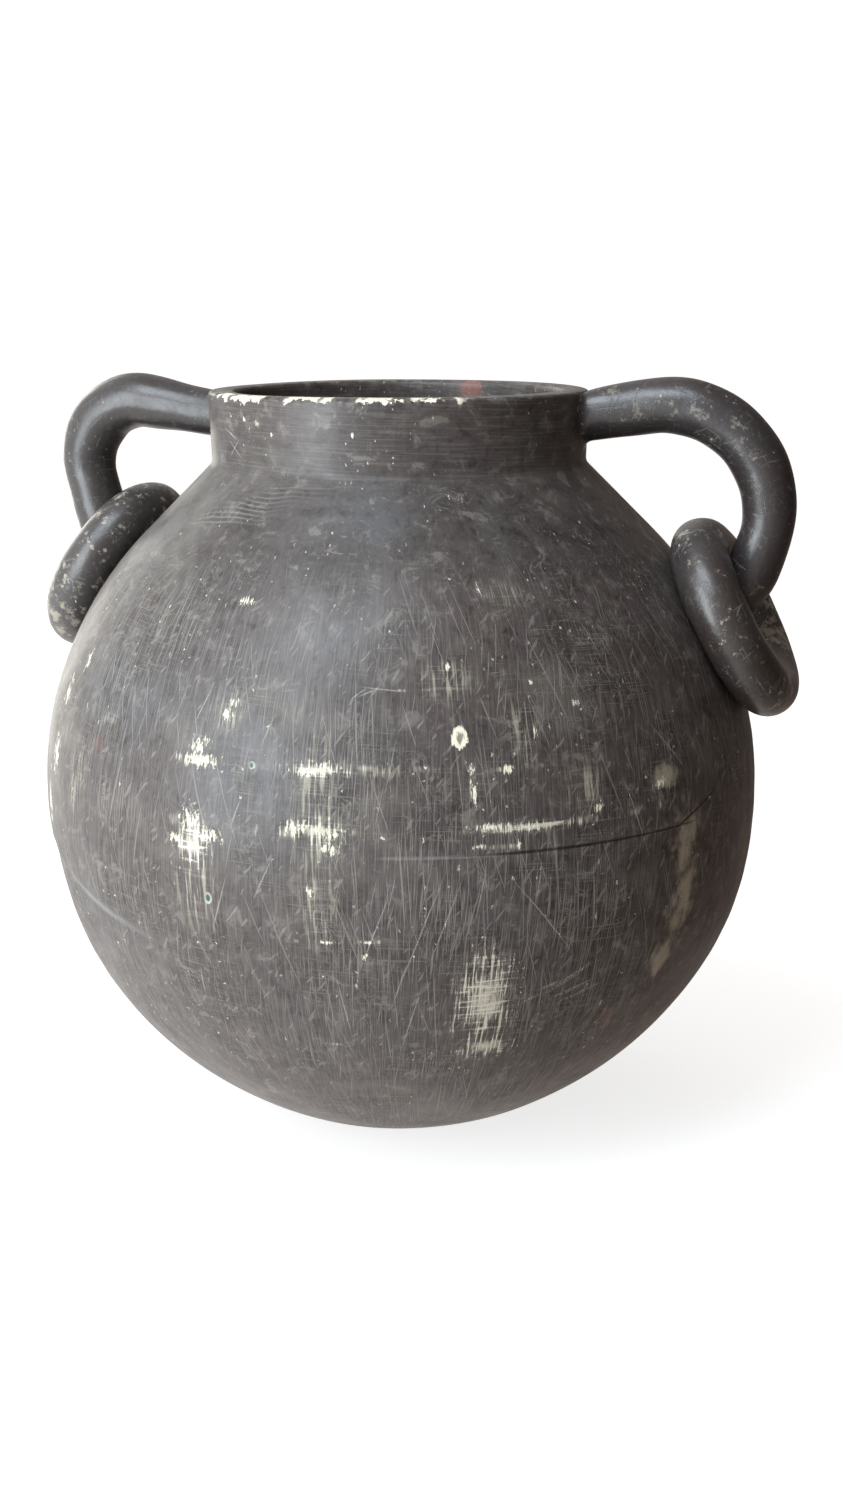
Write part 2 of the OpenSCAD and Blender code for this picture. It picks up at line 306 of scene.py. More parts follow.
# ---- Handles: rolled clay along the CAD's centre line, spread out into the neck and the belly
def handle_line(h):
    """The handle in its own plane, x out from the pot's axis and z up from the belly's centre. line holds,
    from the neck to the belly: the point, the angle of the clay's outer side, the clay's radius and how
    far along it is, all in mm and degrees."""
    seat = BELLY_R + h["wire"] + PLAY
    centre = math.sqrt(seat ** 2 - h["ring"] ** 2) * along(h["el"])
    top = centre + h["ring"] * along(h["el"] + 90)
    rim = RIM_Z - CENTRE_Z
    bc = np.array([h["reach"] - h["bend"], rim - h["drop"] - h["bend"]])
    turn = h["leg"] + h["wire"] + PLAY
    v = top - bc
    start = 90 + h["rise"]
    leg_a = math.degrees(math.atan2(v[1], v[0]) + math.acos((h["bend"] - turn) / np.linalg.norm(v)))
    foot_a = h["el"] - 90
    bend_start = bc + h["bend"] * along(start)
    root_len = (bend_start[0] - NECK_R) / math.cos(math.radians(h["rise"]))
    root = bend_start - root_len * along(h["rise"])

    def length(a):
        """How far along the bend's point at angle a is."""
        return root_len + h["bend"] * math.radians(start - a)

    crest_s, leg_s = length(45), length(leg_a)

    def clay(s):
        """The clay's radius s mm along: thin at the root, thickest at the crest, thinner in the leg."""
        if s < crest_s:
            t, thin, thick = min(max(s / crest_s, 0), 1), h["root"], h["crest"]
        else:
            t, thin, thick = min((s - crest_s) / (leg_s - crest_s), 1), h["crest"], h["leg"]
        return thin + (thick - thin) * (1 - math.cos(math.pi * t)) / 2

    line = []
    for s in np.linspace(9.0, root_len, 9)[:-1]:
        line.append((root + s * along(h["rise"]), start, clay(s), s))
    for a in np.linspace(start, leg_a, 46):
        line.append((bc + h["bend"] * along(a), a, clay(length(a)), length(a)))
    leg0, leg1 = bc + h["bend"] * along(leg_a), top + turn * along(leg_a)
    leg_len = float(np.linalg.norm(leg1 - leg0))
    for t in np.linspace(0, 1, max(int(leg_len / 2), 2) + 1)[1:]:
        line.append((leg0 + (leg1 - leg0) * t, leg_a, h["leg"], leg_s + leg_len * t))
    s1 = leg_s + leg_len
    for a in np.linspace(leg_a, foot_a, 20)[1:]:
        line.append((top + turn * along(a), a, h["leg"], s1 + turn * math.radians(leg_a - a)))
    return dict(line=line, root=root, start=start, foot=top + turn * along(foot_a), foot_a=foot_a,
                clay=clay, top=top, centre=centre, end_s=line[-1][3])


def neck_radius(x, y, z):
    """The neck's radius where it faces (x, y), at z above the belly's centre."""
    az = np.degrees(np.arctan2(x, -y))
    return NECK_R + FLARE * (z + CENTRE_Z - NECK_FOOT_Z) + outer_shift(az, z + CENTRE_Z)


def placed(x, y, z, side):
    """Points from a handle's own plane to the pot's frame; side is 1 on the right and -1 on the left."""
    turn = 0.0 if side > 0 else math.radians(180 - LEFT_TURN)
    return np.stack([x * math.cos(turn) - y * math.sin(turn), x * math.sin(turn) + y * math.cos(turn),
                     z + CENTRE_Z], -1)


def make_handle(name, h, side, wobble, material):
    """Rolled clay with an uneven surface; wobble sets where its waves lie."""
    g = handle_line(h)
    sides = 72
    phi = np.linspace(0, 360, sides, endpoint=False)
    c, s_ = np.cos(np.radians(phi)), np.sin(np.radians(phi))
    top_side = np.clip(c, 0, 1) ** 2

    def section(p, normal, r, s):
        """The points round the clay at p, s mm along, with its outer side at the angle normal."""
        out = along(normal)
        wave = 0.10 * np.sin(s / 6.3 + wobble) + 0.08 * np.sin(s / 3.1 + 2 * wobble + 2 * np.radians(phi))
        wave = wave + 0.16 * np.sin(2 * np.radians(phi) + s / 21 + wobble) - 0.12
        rr = r + wave
        return np.stack([p[0] + rr * c * out[0], rr * s_, p[1] + rr * c * out[1]], -1)

    def cap(s):
        """The highest the clay may be s mm from the neck, so that its root stays below the rim."""
        return RIM_Z - CENTRE_Z - 0.9 + 0.34 * s

    def spread_over(face, normal):
        """Directions away from the clay's middle line that lie in the surface it meets."""
        out = along(normal)
        spread = np.stack([c * out[0], s_, c * out[1]], -1)
        return unit(spread - (spread * face).sum(-1, keepdims=True) * face)

    def root_section(s):
        """The tube s mm out from the neck, pressed down smoothly under its cap."""
        s = np.broadcast_to(np.asarray(s, float), phi.shape)
        out = np.zeros((sides, 3))
        for k in range(sides):
            p = section(g["root"] + s[k] * along(h["rise"]), g["start"], g["clay"](s[k]), s[k])[k]
            z, lim = p[2], cap(s[k])
            p[2] = -np.logaddexp(-z, -lim) if z > lim - 5 else z
            out[k] = p
        return out

    # Where each line along the root meets the neck
    hit = np.zeros(sides)
    for _ in range(6):
        p = root_section(hit)
        want = np.sqrt(np.maximum(neck_radius(p[:, 0], side * p[:, 1], p[:, 2]) ** 2 - p[:, 1] ** 2, 1))
        hit += (want - p[:, 0]) / math.cos(math.radians(h["rise"]))
    # It spreads least at the top, where the rim is close
    reach = ROOT_REACH * (1 - 0.62 * top_side)
    p1 = root_section(hit)
    p0 = root_section(hit + reach)
    spread = spread_over(unit(np.stack([p1[:, 0], p1[:, 1], 0 * phi], -1)), g["start"])
    p2 = p1 + spread * (ROOT_SPREAD * (1 - 0.75 * top_side))[:, None]
    p2[:, 2] = np.minimum(p2[:, 2], RIM_Z - CENTRE_Z - 1.1)
    neck_r = neck_radius(p2[:, 0], side * p2[:, 1], p2[:, 2]) - 0.06
    p2[:, :2] *= (neck_r / np.hypot(p2[:, 0], p2[:, 1]))[:, None]
    p3 = p2.copy()
    p3[:, :2] *= ((neck_r - 1.6) / neck_r)[:, None]
    rows, dist = [p3], [-8.0]
    for t in np.clip(1 - np.sin(np.linspace(0, math.pi / 2, 11)), 0, 1):
        rows.append((1 - t) ** 2 * p0 + 2 * t * (1 - t) * p1 + t * t * p2)
        dist.append(4 - 10 * t)
    for f in (0.3, 0.62):
        s = (hit + reach) * (1 - f) + 9.0 * f
        rows.append(root_section(s))
        dist.append(4 + 5 * f)
    for p, a, r, s in g["line"]:
        rows.append(root_section(s) if s < 26 and a == g["start"] else section(p, a, r, s))
        dist.append(s)

    # The foot runs straight in and spreads on the belly
    inward = np.insert(-along(h["el"]), 1, 0.0)

    def foot_section(s):
        s = np.broadcast_to(np.asarray(s, float), phi.shape)
        return section(g["foot"], g["foot_a"], h["leg"], g["end_s"]) + s[:, None] * inward

    base = foot_section(0)
    b = base @ inward
    hit = -b - np.sqrt(np.maximum(b ** 2 - (base ** 2).sum(-1) + BELLY_R ** 2, 0))
    q1 = foot_section(hit)
    q0 = foot_section(hit - FOOT_REACH)
    q2 = unit(q1 + spread_over(unit(q1), g["foot_a"]) * FOOT_SPREAD) * (BELLY_R - 0.05)
    q3 = unit(q2) * (BELLY_R - 2.0)
    for f in (0.35, 0.7):
        rows.append(foot_section((hit - FOOT_REACH) * f))
        dist.append(g["end_s"] + 4 * f)
    for t in 1 - np.cos(np.linspace(0, math.pi / 2, 9)):
        rows.append((1 - t) ** 2 * q0 + 2 * t * (1 - t) * q1 + t * t * q2)
        dist.append(g["end_s"] + 5 + 4 * t)
    rows.append(q3)
    dist.append(g["end_s"] + 11)

    grid = np.array(rows)
    grid = placed(grid[..., 0], grid[..., 1], grid[..., 2], side)
    return tube_piece(name, grid, np.array(dist) * MM, material, capped=True)


def tube_piece(name, grid, dist, material, capped):
    """A tube from rows of points; u runs along it in metres, and v once round it, from 0 to 1."""
    rows, sides = grid.shape[:2]
    count = rows - 1 if capped else rows
    whole = dist[-1] + np.linalg.norm(grid[0, 0] - grid[-1, 0]) * MM
    d_row = np.roll(grid, -1, 0) - np.roll(grid, 1, 0)
    if capped:
        d_row[0], d_row[-1] = grid[1] - grid[0], grid[-1] - grid[-2]
    d_col = np.roll(grid, -1, 1) - np.roll(grid, 1, 1)
    normals = unit(np.cross(d_row, d_col))
    away = (normals[rows // 2] * (grid[rows // 2] - grid[rows // 2].mean(0))).sum()
    flip = away < 0
    if flip:
        normals = -normals
    faces, uv, nor = [], [], []
    for i in range(count):
        k = (i + 1) % rows
        d0, d1 = dist[i], dist[k] if k else whole
        for j in range(sides):
            n = (j + 1) % sides
            corners = [(i, j, d0, j), (k, j, d1, j), (k, n, d1, j + 1), (i, n, d0, j + 1)]
            if flip:
                corners = corners[::-1]
            faces.append(tuple(a * sides + b for a, b, _, _ in corners))
            uv += [(d, m / sides) for _, _, d, m in corners]
            nor += [normals[a, b] for a, b, _, _ in corners]
    pts = grid.reshape(-1, 3).tolist()
    if capped:
        for i in (0, rows - 1):
            tip = len(pts)
            pts.append(grid[i].mean(0).tolist())
            outward = grid[min(i + 1, rows - 1)].mean(0) - grid[max(i - 1, 0)].mean(0)
            outward = -outward if i == 0 else outward
            for j in range(sides):
                n = (j + 1) % sides
                tri = (i * sides + j, i * sides + n, tip)
                p = np.array([pts[q] for q in tri])
                if np.dot(np.cross(p[1] - p[0], p[2] - p[0]), outward) < 0:
                    tri = tri[::-1]
                faces.append(tri)
                uv += [(dist[i], 0.5)] * 3
                nor += [outward] * 3
    return new_piece(name, pts, faces, uv, nor, material)


def make_ring(name, h, side, wobble, material):
    """A loose ring of rolled clay, a little worn; wobble sets where it is worn."""
    g = handle_line(h)
    loops, sides = 180, 64
    t = np.linspace(0, 2 * math.pi, loops, endpoint=False)[:, None]
    phi = np.linspace(0, 2 * math.pi, sides, endpoint=False)[None, :]
    worn = 0.14 + 0.10 * np.sin(3 * t + wobble) + 0.07 * np.sin(5 * t - 2 * phi + wobble)
    worn = worn + 0.06 * np.sin(9 * t + 3 * phi) + 0.10 * np.sin(2 * phi + t)
    r = h["wire"] - np.clip(worn, 0, 0.5)
    out = h["ring"] + r * np.cos(phi)
    lift = r * np.sin(phi)
    up, off = along(h["el"] + 90), along(h["el"])
    x = g["centre"][0] + out * np.cos(t) * up[0] + lift * off[0]
    z = g["centre"][1] + out * np.cos(t) * up[1] + lift * off[1]
    dist = np.arange(loops) * 2 * math.pi * h["ring"] / loops * MM
    return tube_piece(name, placed(x, out * np.sin(t), z, side), dist, material, capped=False)


# ---- Materials
def add_node(tree, kind, inputs, **settings):
    """A new shader node with its settings and inputs; an input is a value or another node's output."""
    n = tree.nodes.new("ShaderNode" + kind)
    for key, value in settings.items():
        setattr(n, key, value)
    for key, value in inputs.items():
        if isinstance(value, bpy.types.NodeSocket):
            tree.links.new(value, n.inputs[key])
        elif value is not None:
            n.inputs[key].default_value = value
    return n.outputs


class Clay:
    """Short names for the shader nodes that the clay materials are made of."""

    def __init__(self, name):
        self.mat = bpy.data.materials.new(name)
        self.mat.use_nodes = True
        self.tree = self.mat.node_tree
        self.tree.nodes.clear()
        self.place = self.node("TexCoord", {})["Object"]
        self.lay = self.node("UVMap", {}, uv_map="pattern")["UV"]

    def node(self, kind, inputs, **settings):
        return add_node(self.tree, kind, inputs, **settings)

    def math(self, op, a, b=None, clamp=False):
        return self.node("Math", {0: a, 1: b}, operation=op, use_clamp=clamp)[0]

    def times(self, a, b):
        return self.math("MULTIPLY", a, b)

    def plus(self, a, b, clamp=False):
        return self.math("ADD", a, b, clamp)

    def minus(self, a, b):
        return self.math("SUBTRACT", a, b)

    def most(self, *values):
        best = values[0]
        for v in values[1:]:
            best = self.math("MAXIMUM", best, v)
        return best

    def vec(self, op, a, b=None):
        out = self.node("VectorMath", {0: a, 1: b}, operation=op)
        return out["Value"] if op in ("LENGTH", "DISTANCE") else out["Vector"]

    def parts(self, where):
        """The x, y and z of a vector."""
        return self.node("SeparateXYZ", {0: where})

    def fit(self, value, lo, hi, to_lo=0.0, to_hi=1.0):
        """Goes smoothly from to_lo to to_hi as value goes from lo to hi."""
        ends = {"From Min": lo, "From Max": hi, "To Min": to_lo, "To Max": to_hi}
        return self.node("MapRange", {"Value": value, **ends}, interpolation_type="SMOOTHSTEP")["Result"]

    def between(self, value, fade):
        """1 between the middle two of four values, falling to 0 at the outer two."""
        return self.times(self.fit(value, fade[0], fade[1]), self.fit(value, fade[3], fade[2]))

    def noise(self, where, scale, detail=2.0, rough=0.5, distort=0.0, dims="3D", out="Fac"):
        return self.node("TexNoise", {"Vector": where, "Scale": scale, "Detail": detail, "Roughness": rough,
                                      "Distortion": distort}, noise_dimensions=dims)[out]

    def mapped(self, where, scale, turn=0.0, shift=(0, 0, 0)):
        """Coordinates turned by so many degrees, shifted, and then multiplied by scale."""
        turned = self.node("Mapping", {"Rotation": (0, 0, math.radians(turn)), "Location": shift,
                                       "Vector": where}, vector_type="POINT")["Vector"]
        return self.vec("MULTIPLY", turned, (*scale, 1.0))

    def stretched(self, scale, detail, rough=0.5, shift=0.0):
        """Noise over the pattern, with scale lumps per metre round and up the wall."""
        return self.noise(self.mapped(self.lay, scale, shift=(shift, 0, 0)), 1.0, detail, rough, dims="2D")

    def swayed(self, scale, amount):
        """The pattern coordinates, pushed about by up to half of amount, in metres."""
        push = self.noise(self.lay, scale, 1.0, dims="2D", out="Color")
        sway = self.vec("SUBTRACT", push, (0.5, 0.5, 0.5))
        return self.vec("ADD", self.lay, self.vec("MULTIPLY", sway, (amount, amount, 0)))

    def streaks(self, scale, turn, lo, hi, shift=0.0):
        """Thin drawn-out lines: scale is (across, along) and turn leans them."""
        where = self.mapped(self.swayed(18, 0.0007), scale, turn, (shift, shift, 0))
        return self.fit(self.noise(where, 1.0, 1.0, dims="2D"), lo, hi)

    def specks(self, scale, size, keep, stretch=(1, 1)):
        """Scattered ragged dots: scale is cells per metre, size a share of a cell, keep the share left empty."""
        torn = self.vec("MULTIPLY", self.swayed(1100, 0.0016), (*stretch, 1.0))
        cell = self.node("TexVoronoi", {"Scale": scale, "Vector": torn}, voronoi_dimensions="2D")
        pick = self.node("SeparateColor", {0: cell["Color"]})[0]
        width = self.times(self.fit(pick, keep, 1.0), size)
        return self.fit(self.minus(width, cell["Distance"]), 0.0, size * 0.35)

    def spots(self, marks, edge=0.0):
        """A field that is above 0 inside the nearest of a few elliptical marks. Each mark is (degrees
        round the pot, height in mm, half width and half height in mm); edge roughens their outlines."""
        fields = []
        for az, z, across, high in marks:
            off = self.vec("SUBTRACT", self.lay, wall_place(az, z))
            d = self.vec("MULTIPLY", off, (1 / (across * MM), 1 / (high * MM), 0.0))
            fields.append(self.minus(1.0, self.vec("LENGTH", d)))
        return self.plus(self.most(*fields), edge)

    def strokes(self, marks, half_width, bend=0.0012):
        """A field that is above 0 within long thin marks. Each is drawn between two places on the wall, given
        as degrees round the pot and height in mm."""
        where = self.swayed(26, bend)
        fields = []
        for start, end in marks:
            a, b = wall_place(*start), wall_place(*end)
            upright = 90 - math.degrees(math.atan2(b.y - a.y, b.x - a.x))
            shape = (1 / (half_width * MM), 2 / (b - a).length)
            d = self.mapped(self.vec("SUBTRACT", where, (a + b) / 2), shape, upright)
            fields.append(self.minus(1.0, self.vec("LENGTH", d)))
        return self.most(*fields)

    def mix(self, factor, a, b):
        a, b = ((*x, 1.0) if isinstance(x, tuple) else x for x in (a, b))
        return self.node("Mix", {0: factor, 6: a, 7: b}, data_type="RGBA", blend_type="MIX")[2]

    def layers(self, base, rows):
        """Lays one colour after another over base; each row is (how much of it, its colour)."""
        for factor, colour in rows:
            base = self.mix(factor, base, colour)
        return base

    def finish(self, colour, roughness, height, specular=0.5):
        bump = self.node("Bump", {"Strength": 1.0, "Distance": BUMP_DEPTH, "Height": height})
        shader = self.node("BsdfPrincipled", {"Specular IOR Level": specular, "Base Color": colour,
                                              "Roughness": roughness, "Normal": bump["Normal"]})
        self.node("OutputMaterial", {"Surface": shader[0]})
        return self.mat


# Scuffs through to the pale slip: degrees round the pot, height, half width and half height in mm
SCUFFS = [(-14, 233.5, 6.0, 2.2), (-15.5, 178.0, 9.5, 3.4), (-16, 182.5, 5.0, 5.0), (-12, 194.5, 3.4, 3.0),
          (-11, 199.0, 3.6, 2.2), (-16.5, 156.5, 6.0, 5.5), (-13.5, 150.5, 8.0, 3.4), (-19, 148.0, 4.0, 2.6),
          (2, 177.0, 9.0, 1.6), (4, 178.5, 4.0, 3.4), (0, 157.0, 6.0, 3.8), (5, 155.0, 6.0, 3.0),
          (5, 149.5, 4.5, 3.0), (24.9, 178.5, 1.3, 3.2), (25.2, 170.0, 1.7, 6.0), (27.5, 156.8, 8.5, 1.9),
          (33, 155.8, 6.0, 1.7), (31.5, 149.5, 1.7, 1.7), (26, 150.0, 3.0, 1.3), (4, 113.5, 5.0, 1.0),
          (10, 114.0, 3.2, 1.2), (9.5, 108.0, 1.3, 1.5), (2, 133.0, 1.6, 3.4), (-54, 165.0, 5.0, 11.0),
          (-58, 143.0, 5.0, 13.0), (-54, 189.0, 4.0, 8.0), (-49, 203.0, 3.0, 5.0), (22.5, 213.0, 1.7, 1.7),
          (42.4, 198.0, 2.4, 1.6), (29.5, 238.0, 1.6, 3.0), (35.5, 206.0, 1.2, 1.4), (30.5, 177.5, 3.0, 2.0),
          (35, 189.0, 0.8, 3.0), (-43, 297.0, 2.6, 1.6), (-36, 296.5, 2.4, 1.3), (-30, 295.0, 3.0, 1.4),
          (-24, 291.0, 1.8, 1.0), (2, 292.0, 1.4, 1.2),
          (44, 160.5, 2.2, 2.4), (56, 165.0, 4.0, 2.2)]
# Patches of burnishing marks, painted bright as glints where they catch the light
GLINT_HATCHES = [(27.5, 88, 17, 30), (28.5, 86, 13, 21), (29, 66, 18, 8), (3, 178, 16, 4), (3, 156, 13, 6),
           (-16, 147, 11, 12), (-16, 178, 13, 4), (34, 156, 36, 2.2)]
STREAKED = [(3, 160, 12, 42), (-16, 134, 13, 30), (3, 128, 10, 26), (8, 178, 42, 3.0), (34, 156, 36, 3.6),
            (34, 236, 12, 7), (33, 190, 8, 18), (-36, 186, 9, 4), (-44, 160, 10, 22), (28, 80, 19, 34),
            (22, 208, 16, 12), (-12, 196, 10, 10), (42, 168, 12, 14)]
# Broad patches where the blackening has gone thin
THIN = [(61.5, 138, 10, 18), (62, 114, 10, 22), (60, 92, 8, 13), (57, 166, 10, 6)]
# Painted sheen: broad patches where a bluish reflection lies on the wall, painted into the colour as a bluer
# tone
SHEEN_PATCHES = [(-34, 196, 52, 26), (-8, 172, 34, 30), (-50, 240, 30, 24), (10, 262, 30, 18)]
# Long single scratches, each from one place to another: degrees round the pot and height in mm
SCRATCHES = [((-15, 208), (-18, 187)), ((-4, 197), (-6, 184)), ((-8, 168), (-10, 153)),
             ((-10, 140), (-14, 110)), ((-3, 147), (-7, 125)), ((-17, 100), (-18, 82)),
             ((5, 104), (7, 68)), ((14, 138), (8, 98)), ((16, 108), (13, 85)), ((22, 148), (13, 86)),
             ((24, 143), (18, 99)), ((18, 99), (14, 61)), ((27, 145), (25, 118)), ((35, 145), (34, 125)),
             ((43, 142), (44, 107)), ((29, 142), (42, 101)), ((45, 175), (41, 148)),
             ((48, 174), (54, 133)), ((55, 189), (62, 167)), ((8, 207), (17, 205)),
             ((10, 207), (7, 202)), ((12, 207), (8, 203)), ((-41, 214), (-38, 196)),
             ((-46, 289), (-37, 280)), ((-38, 289), (-46, 280)), ((-50, 294), (-38, 287))]
# A cluster of strokes that lean well over, and the tooling marks under the neck
LEANING = [((36, 87), (47, 102)), ((35, 89), (41, 94)), ((37, 84), (48, 93)), ((36, 86), (44, 97)),
           ((39, 82), (48, 89)), ((33, 84), (37, 89))]
TOOLED = [((-52 + 3 * k, 256 + 2 * k), (-16 + 2.5 * k, 259 + 1.8 * k)) for k in range(9)]
# Reddish stains
STAINS = [(-25, 40, 9, 6), (-12, 31, 7, 5), (-38, 176, 5, 4), (52, 70, 7, 5), (118, 205, 9, 6),
          (-150, 96, 12, 8)]
# The middle of one more, just inside the rim at the back, in metres
INNER_STAIN = (0.0154, 0.0655, RIM_Z * MM - 0.003)
# Faint worn rings left over the throwing ridges: height and half width in mm, and from and to in degrees
WORN_RINGS = [(178.0, 1.2, -24, 20), (177.5, 0.9, 26, 37), (156.4, 1.5, 24, 58), (155.0, 2.0, -21, 12),
              (149.6, 0.9, 22, 35), (113.5, 0.8, -2, 13), (67.7, 0.8, -2, 10), (205.0, 0.5, 8, 20)]
# The soft crease at lower left, along which a pale highlight is painted, a ring-shaped chip, and pits from the
# firing
CREASE_HIGHLIGHT = ((-58, 122), (-22, 101))
CHIP = (23.5, 189.0, 3.4, 4.6)
PITS = [(-13.8, 126.7, 1.9, 2.6), (-7, 178.0, 1.5, 1.7)]
# Where the scored line's pale start, its dark part and its fork fade in and out, in metres round the wall
PALE_SCORE = (0.028, 0.036, 0.070, 0.078)
DARK_SCORE = (0.052, 0.080, 0.160, 0.172)
FORK = (0.150, 0.158, 0.176, 0.186)
FORK_START, FORK_SLOPE = 0.1555, 0.36
# Where the front of the rim is worn through, in the same way
WORN_RIM = (-0.165, -0.148, 0.078, 0.098)
BUMP_DEPTH = 0.0004


def burnished_clay():
    """Clay of the wall: u runs round it and v up it, in metres."""
    m = Clay("burnished_clay")
    large = m.noise(m.place, 8.0, 3.0, 0.55)
    cloud = m.noise(m.place, 34.0, 4.0, 0.6, 0.4)
    grain = m.noise(m.place, 420.0, 3.0, 0.6)
    fine = m.noise(m.place, 1500.0, 2.0, 0.6)
    patchy = m.fit(m.noise(m.place, 17.0, 3.0, 0.55), 0.40, 0.64)
    mottle = m.noise(m.place, 120.0, 5.0, 0.7, 0.6)
    u, v, _ = m.parts(m.lay)
    # Below the shoulder the clay was rubbed up and down; above it, round and round
    rubbed_up = m.fit(v, wall_height(258), wall_height(215), 0.10, 1.0)
    rubbed_round = m.fit(v, wall_height(268), wall_height(282))

    # Scratches all over
    brushed = m.times(m.streaks((1500, 60), 2, 0.42, 0.72, 1.3), rubbed_up)
    upright = m.times(m.streaks((1700, 42), 3, 0.60, 0.72), patchy)
    upright_long = m.times(m.streaks((1200, 17), -4, 0.67, 0.74, 3.1), m.fit(large, 0.40, 0.60))
    leaning = m.streaks((1000, 20), -19, 0.725, 0.77, 7.7)
    leaning_back = m.streaks((1000, 22), 12, 0.73, 0.77, 12.3)
    level = m.times(m.streaks((36, 1500), 3, 0.62, 0.75, 5.2), m.fit(cloud, 0.42, 0.62))
    short = m.streaks((420, 110), 38, 0.70, 0.77, 9.4)
    wiped = m.times(m.streaks((20, 1300), 1, 0.46, 0.72, 6.1), rubbed_round)
    swirl = m.math("ABSOLUTE", m.minus(m.noise(m.place, 60.0, 3.0, 0.6, 1.6), 0.5))
    swirl = m.times(m.fit(swirl, 0.016, 0.0), m.fit(cloud, 0.45, 0.62))
    swirl = m.times(swirl, m.minus(1.0, rubbed_round))
    scratch = m.most(m.times(upright, 0.8), m.times(upright_long, 0.8), m.times(leaning, 0.75),
                     m.times(leaning_back, 0.75), m.times(level, 0.5), m.times(short, 0.6))
    scratch = m.most(m.times(scratch, rubbed_up), m.times(wiped, 0.22), m.times(swirl, 0.6))

    # Marks at their own places
    ragged = m.times(m.minus(m.stretched((760, 210), 4.0, 0.8), 0.5), 4.6)
    frayed = m.times(ragged, 0.20)
    scuff = m.fit(m.spots(SCUFFS, ragged), 0.42, 0.80)
    comb = m.fit(m.stretched((820, 50), 2.0, 0.6), 0.50, 0.66)
    cross = m.fit(m.stretched((60, 760), 2.0, 0.6), 0.52, 0.68)
    # Painted glints: the cross-hatched burnishing marks painted bright where they catch the light
    glint_zone = m.fit(m.spots(GLINT_HATCHES, frayed), 0.0, 1.0)
    lines = m.plus(m.times(comb, 0.75), m.times(cross, 0.45))
    glint_hatch = m.fit(m.plus(m.times(glint_zone, 1.15), lines), 0.62, 1.38)
    glint_hatch = m.times(glint_hatch, m.fit(glint_zone, 0.0, 0.12))
    faint_zone = m.fit(m.spots(STREAKED, frayed), 0.0, 0.8)
    streaked = m.times(faint_zone, m.plus(m.times(comb, 0.8), m.times(cross, 0.2)))
    blotch = m.times(m.minus(m.stretched((150, 90), 4.0, 0.65), 0.5), 2.2)
    thin = m.fit(m.plus(m.spots(THIN), blotch), 0.0, 0.9)
    # Painted sheen: a bluish tone laid where the reflection lies
    painted_sheen = m.fit(m.plus(m.spots(SHEEN_PATCHES), m.minus(cloud, 0.5)), -0.1, 0.8)
    drawn = m.times(m.fit(m.strokes(SCRATCHES, 0.36), 0.0, 0.7), m.fit(fine, 0.34, 0.56, 0.35, 1.0))
    leant = m.times(m.fit(m.strokes(LEANING, 1.1), 0.0, 0.8), m.fit(fine, 0.42, 0.60))
    tooled = m.fit(m.strokes(TOOLED, 0.7, 0.007), 0.0, 0.8)
    tooled = m.times(tooled, m.fit(cloud, 0.35, 0.6, 0.3, 1.0))
    stain = m.fit(m.plus(m.spots(STAINS), m.times(m.minus(cloud, 0.5), 1.6)), 0.1, 0.7)
    inner_stain = m.fit(m.vec("DISTANCE", m.place, INNER_STAIN), 0.0075, 0.003)
    # Painted highlight: a pale bluish band along the soft crease
    crease_and_highlight = m.fit(m.strokes([CREASE_HIGHLIGHT], 3.2, 0.002), 0.0, 1.0)

    # Worn throwing ridges
    drift = m.times(m.minus(m.stretched((14, 0), 1.0), 0.5), 0.006)
    drifted = m.plus(v, drift)
    rings = []
    for z, width, start, end in WORN_RINGS:
        off = m.math("ABSOLUTE", m.minus(drifted, wall_height(z)))
        middle, half = wall_turn(start + end) / 2, wall_turn(end - start) / 2
        reach = m.fit(m.math("ABSOLUTE", m.minus(u, middle)), half * 1.05, half * 0.8)
        rings.append(m.times(m.fit(off, width * MM * 1.4, width * MM * 0.2), reach))
    broken = m.fit(m.stretched((95, 30), 3.0, 0.7), 0.53, 0.66)
    rings = m.times(m.times(m.most(*rings), broken), m.fit(comb, 0.1, 0.8, 0.25, 1.0))

    # The scored line, its fork, the pits and the ring-shaped chip
    above = m.minus(v, wall_height(SCORE_Z))
    line = m.times(m.fit(m.math("ABSOLUTE", above), 0.0010, 0.0002), m.fit(cloud, 0.35, 0.6, 0.45, 1.0))
    line_pale = m.times(line, m.between(u, PALE_SCORE))
    line_dark = m.times(line, m.between(u, DARK_SCORE))
    off_fork = m.math("ABSOLUTE", m.minus(above, m.times(m.minus(u, FORK_START), FORK_SLOPE)))
    dark = m.most(line_dark, m.times(m.fit(off_fork, 0.0008, 0.0002), m.between(u, FORK)))
    chip = m.spots([CHIP], m.times(ragged, 0.22))
    chip_ring = m.times(m.fit(chip, 0.02, 0.14), m.fit(chip, 0.72, 0.48, 0.25, 1.0))
    pit = m.spots(PITS)
    pit_edge = m.times(m.fit(pit, 0.0, 0.2), m.fit(pit, 0.6, 0.35))

    small = m.times(m.specks(230, 0.12, 0.76), m.fit(cloud, 0.40, 0.60))
    dashes = m.times(m.specks(130, 0.085, 0.78, (1.8, 0.50)), patchy)
    dots = m.most(small, dashes, m.specks(62, 0.045, 0.84))

